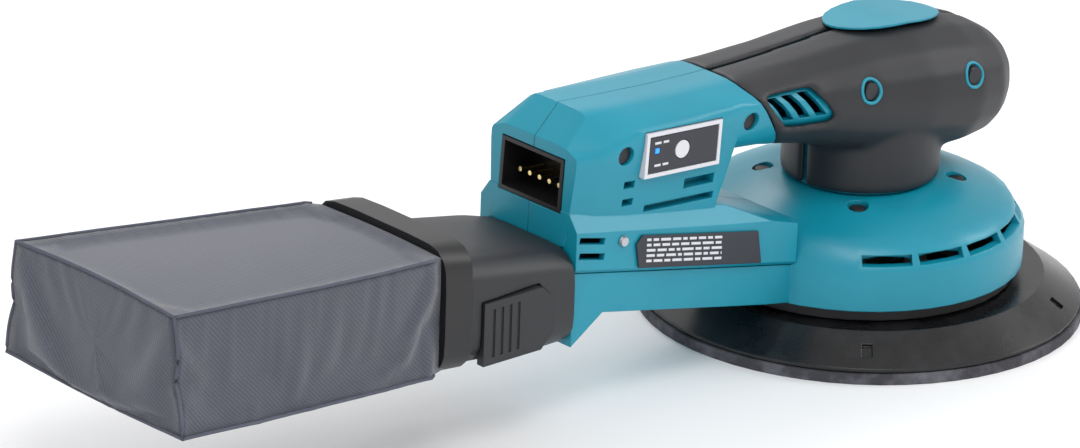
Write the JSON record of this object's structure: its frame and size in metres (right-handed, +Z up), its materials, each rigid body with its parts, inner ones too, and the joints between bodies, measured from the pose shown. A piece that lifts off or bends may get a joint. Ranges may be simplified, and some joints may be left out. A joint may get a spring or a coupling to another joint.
{
  "type": "orbital sander",
  "caption": "Random orbital sander with slim rear handle, round sanding pad, supply socket, wireless button panel and pull-off dust bag.",
  "frame": {"origin": "middle of the whole outline's footprint, on the sanded surface", "axes": "+X from the dust bag towards the nose, +Y to the left of the nose, +Z up from the sanded surface"},
  "size_m": [0.4004, 0.15, 0.1017],
  "materials": {
    "teal_abs": "moulded, fine satin grain",
    "charcoal_overmold": "soft moulded rubber, fine grain",
    "charcoal_plastic": "moulded, satin",
    "black_plastic": "satin",
    "label_film": "satin printed film",
    "white_gloss": "gloss",
    "lamp_blue": "clear tinted lens",
    "steel": "machined",
    "magnet_steel": "laminated",
    "aluminium": "cast, machined seats",
    "copper": "varnished winding wire",
    "contact_brass": "plated",
    "pad_rubber": "smooth, slightly worn",
    "brake_rubber": "matte",
    "hook_pile": "hook and loop pile",
    "circuit_board": "solder mask",
    "bag_fabric": "coarse woven polyester"
  },
  "bodies": {
    "housing": {"bearing_cap": "aluminium", "bearing_plate": "aluminium", "capacitor_1": "black_plastic", "capacitor_2": "black_plastic", "case_left": "teal_abs", "case_right": "teal_abs", "case_screw_1": "steel", "case_screw_2": "steel", "case_screw_3": "steel", "case_screw_4": "steel", "coils_lower": "copper", "coils_upper": "copper", "control_panel_frame": "white_gloss", "controller_board": "circuit_board", "grip_left": "charcoal_overmold", "grip_right": "charcoal_overmold", "handle_badge": "teal_abs", "head_screw_1": "steel", "head_screw_2": "steel", "head_screw_3": "steel", "head_screw_4": "steel", "head_shroud": "teal_abs", "lower_bearing": "steel", "motor_stator": "magnet_steel", "pad_brake": "brake_rubber", "panel_overlay": "label_film", "power_pin_1": "contact_brass", "power_pin_2": "contact_brass", "power_pin_3": "contact_brass", "power_pin_4": "contact_brass", "power_pin_5": "contact_brass", "power_socket": "black_plastic", "rating_plate": "label_film", "status_lamp": "lamp_blue", "tier_screw": "steel", "upper_bearing": "steel"},
    "rotor": {"motor_shaft": "steel", "rotor_core": "magnet_steel", "dust_fan": "black_plastic", "balancer": "steel", "pad_bearing": "steel"},
    "pad": {"pad_body": "pad_rubber", "hook_layer": "hook_pile", "pad_spindle": "steel", "pad_washer": "steel", "pad_screw": "steel"},
    "dust_bag": {"dust_bag": "bag_fabric", "bag_adapter": "charcoal_plastic", "bag_collar": "black_plastic", "latch_spring_left": "steel", "latch_spring_right": "steel"},
    "latch_left": {"latch_left": "charcoal_plastic"},
    "latch_right": {"latch_right": "charcoal_plastic"},
    "wireless_button": {"wireless_button": "white_gloss"},
    "power_switch": {"power_switch": "black_plastic"},
    "speed_dial": {"speed_dial": "black_plastic"}
  },
  "joints": [
    {"name": "motor_spin", "type": "hinge", "parent": "housing", "child": "rotor", "pos_m": [0.12275, 0, 0.06], "axis": [0, 0, 1], "continuous": true},
    {"name": "pad_spin", "type": "hinge", "parent": "rotor", "child": "pad", "pos_m": [0.12525, 0, 0.02], "axis": [0, 0, 1], "continuous": true},
    {"name": "bag_pull", "type": "slide", "parent": "housing", "child": "dust_bag", "axis": [-1, 0, 0], "range_m": [0, 0.045]},
    {"name": "latch_left_press", "type": "slide", "parent": "dust_bag", "child": "latch_left", "axis": [0, -1, 0], "range_m": [0, 0.002], "stiffness_N_per_m": 600},
    {"name": "latch_right_press", "type": "slide", "parent": "dust_bag", "child": "latch_right", "axis": [0, 1, 0], "range_m": [0, 0.002], "stiffness_N_per_m": 600},
    {"name": "button_press", "type": "slide", "parent": "housing", "child": "wireless_button", "axis": [0, 1, 0], "range_m": [0, 0.0005], "stiffness_N_per_m": 800},
    {"name": "switch_slide", "type": "slide", "parent": "housing", "child": "power_switch", "axis": [-0.9981, 0, 0.0611], "range_m": [0, 0.003]},
    {"name": "dial_turn", "type": "hinge", "parent": "housing", "child": "speed_dial", "pos_m": [0.00556, 0.0226, 0.08231], "axis": [0, 1, 0], "range_deg": [0, 240]}
  ]
}
